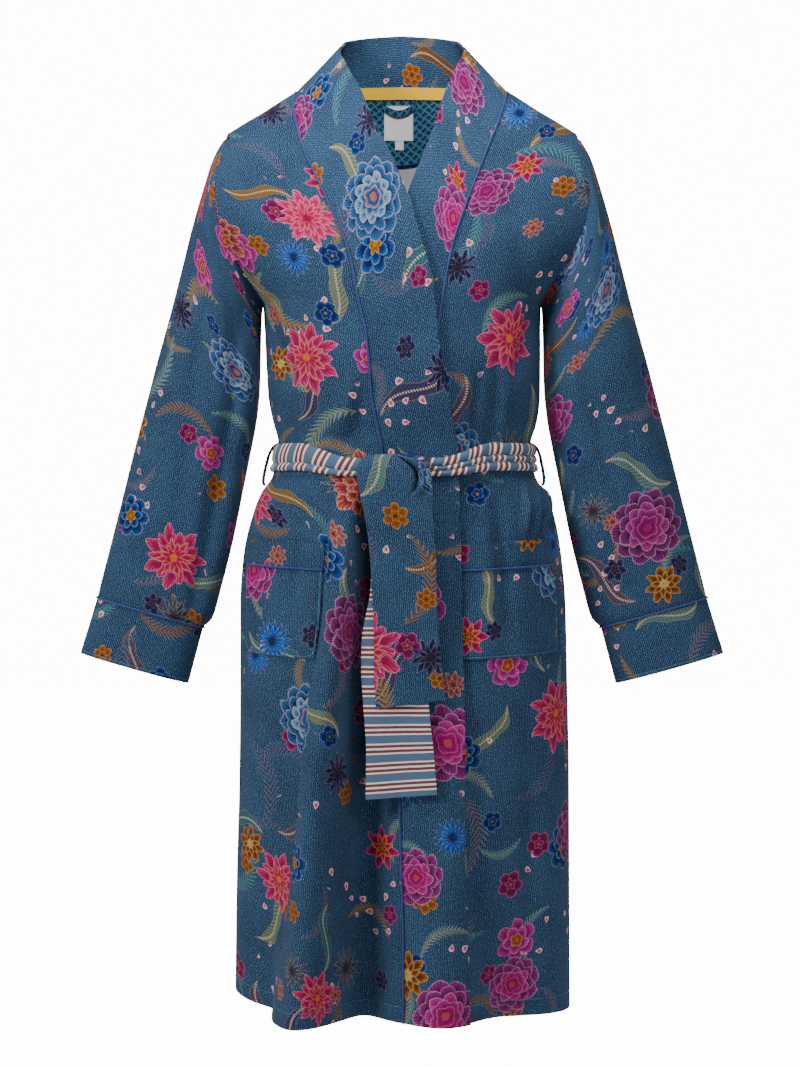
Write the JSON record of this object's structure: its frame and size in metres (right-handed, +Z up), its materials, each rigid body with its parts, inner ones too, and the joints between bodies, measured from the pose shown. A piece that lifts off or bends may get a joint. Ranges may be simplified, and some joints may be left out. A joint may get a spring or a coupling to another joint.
{
  "type": "kimono robe",
  "caption": "Knee-length wrap robe of printed jersey with a shawl band, wide cuffed sleeves, patch pockets and a tied belt, filled out as if worn.",
  "frame": {"origin": "between the two neck points, at the height of the neck seam, where the wearer's shoulders and neck hold the robe", "axes": "+Z up, +Y towards the back, +X towards the wearer's left"},
  "size_m": [0.7326, 0.2768, 1.1151],
  "materials": {
    "printed_jersey": "matt blue jersey with a floral print, pale grey on the reverse",
    "striped_jersey": "matt jersey with blue-grey, white and brown stripes",
    "piping": "violet-blue satin piping",
    "facing_cloth": "dark blue cotton with a lattice of paler blue",
    "neck_tape": "yellow herringbone tape",
    "label_satin": "white woven satin"
  },
  "bodies": {
    "root": {"body_front_right": "printed_jersey", "body_front_left": "printed_jersey", "body_back": "printed_jersey", "neck_band_right": "printed_jersey", "neck_band_left": "printed_jersey", "band_piping_right": "piping", "band_piping_left": "piping", "sleeve_right": "printed_jersey", "sleeve_left": "printed_jersey", "cuff_right": "printed_jersey", "cuff_left": "printed_jersey", "cuff_piping_right": "piping", "cuff_piping_left": "piping", "pocket_right": "printed_jersey", "pocket_left": "printed_jersey", "pocket_band_right": "printed_jersey", "pocket_band_left": "printed_jersey", "pocket_piping_right": "piping", "pocket_piping_left": "piping", "neck_facing": "facing_cloth", "neck_tape": "neck_tape", "label": "label_satin", "size_tab": "label_satin", "hanger_loop": "facing_cloth", "belt_waist_right": "striped_jersey", "belt_waist_back": "striped_jersey", "belt_waist_left": "striped_jersey", "belt_knot": "printed_jersey", "belt_tail_front": "printed_jersey", "belt_tail_back": "striped_jersey", "belt_loop_right": "printed_jersey", "belt_loop_left": "printed_jersey"}
  },
  "joints": []
}
